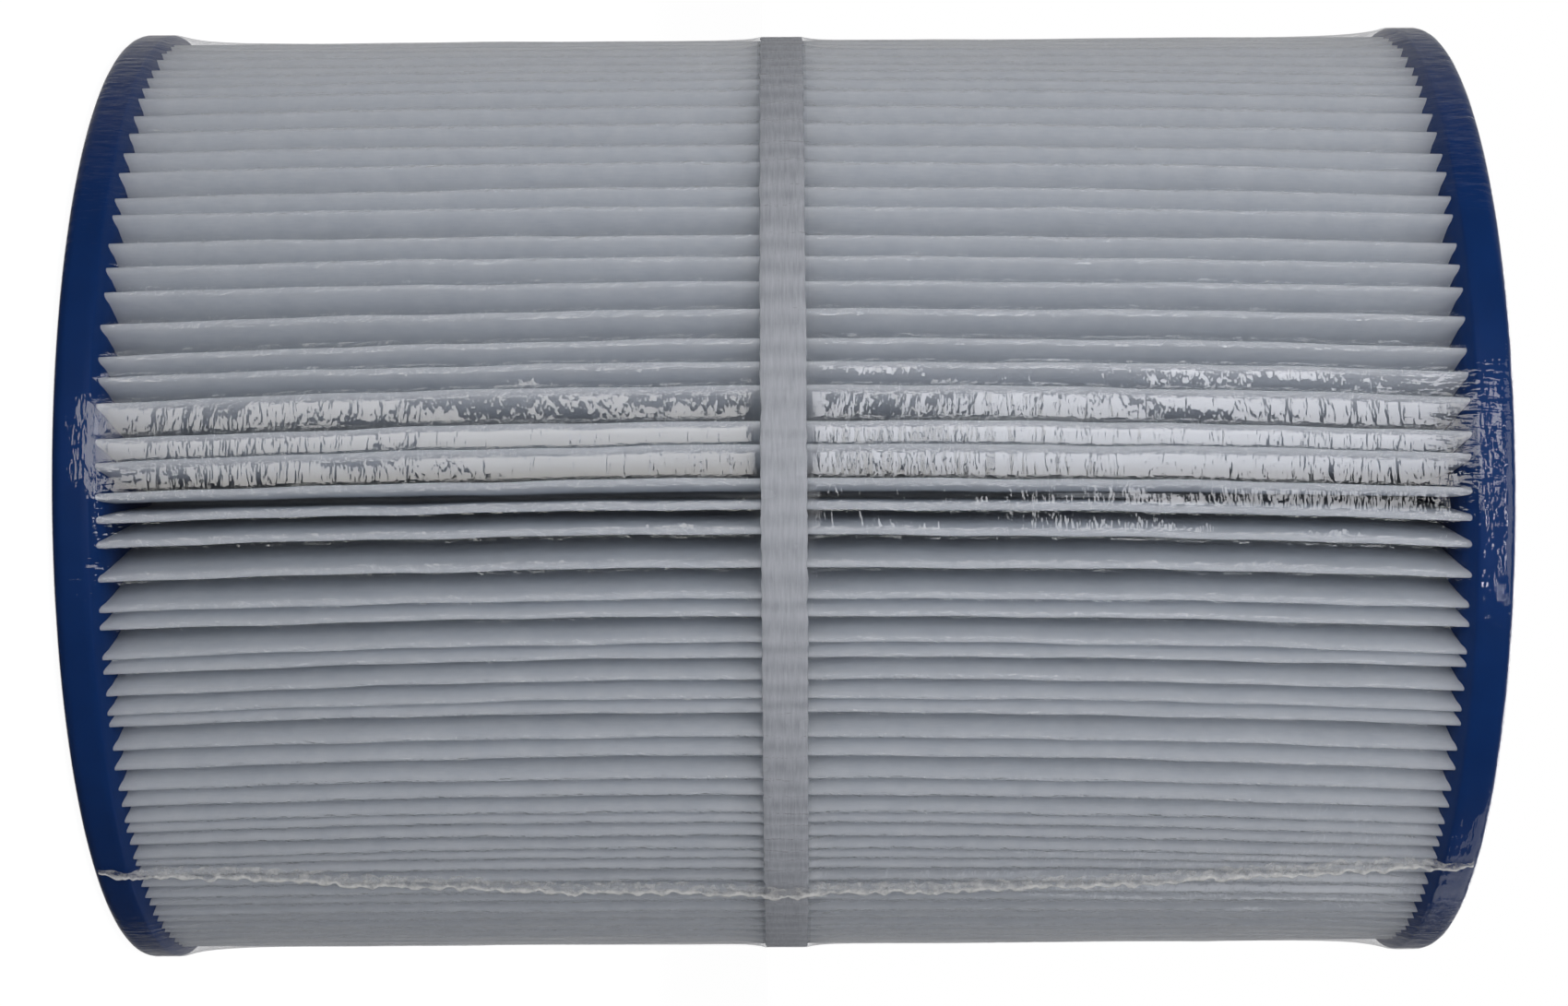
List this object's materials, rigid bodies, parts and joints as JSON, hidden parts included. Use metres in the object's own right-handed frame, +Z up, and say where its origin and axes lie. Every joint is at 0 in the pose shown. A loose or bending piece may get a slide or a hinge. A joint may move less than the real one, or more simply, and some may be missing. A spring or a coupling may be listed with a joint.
{
  "type": "pleated filter cartridge",
  "caption": "Cylindrical pleated filter cartridge with moulded end caps, an open bore through a perforated core, a band round the pleats, and clear shrink film.",
  "frame": {"origin": "centre of the lowest face, the sealing ring of the bottom end cap", "axes": "+Z up along the cartridge's axis; +X and +Y across it, with the side seam of the pleats at +Y"},
  "size_m": [0.1788, 0.1788, 0.2461],
  "materials": {
    "blue_urethane": "cast polyurethane, satin",
    "core_plastic": "injection moulded, satin",
    "pleated_spunbond": "spunbonded polyester, calendered",
    "hot_melt": "hot melt adhesive",
    "spunbond_band": "spunbonded polyester strip, mottled",
    "clear_film": "clear polyolefin shrink film, glossy",
    "film_weld": "cut and welded film edge, ragged"
  },
  "bodies": {
    "root": {"top_end_cap": "blue_urethane", "bottom_end_cap": "blue_urethane", "core_tube": "core_plastic", "pleated_media": "pleated_spunbond", "media_side_seam": "hot_melt", "band_glue_line": "hot_melt", "centre_band": "spunbond_band", "shrink_film": "clear_film", "film_weld_seam": "film_weld"}
  },
  "joints": []
}
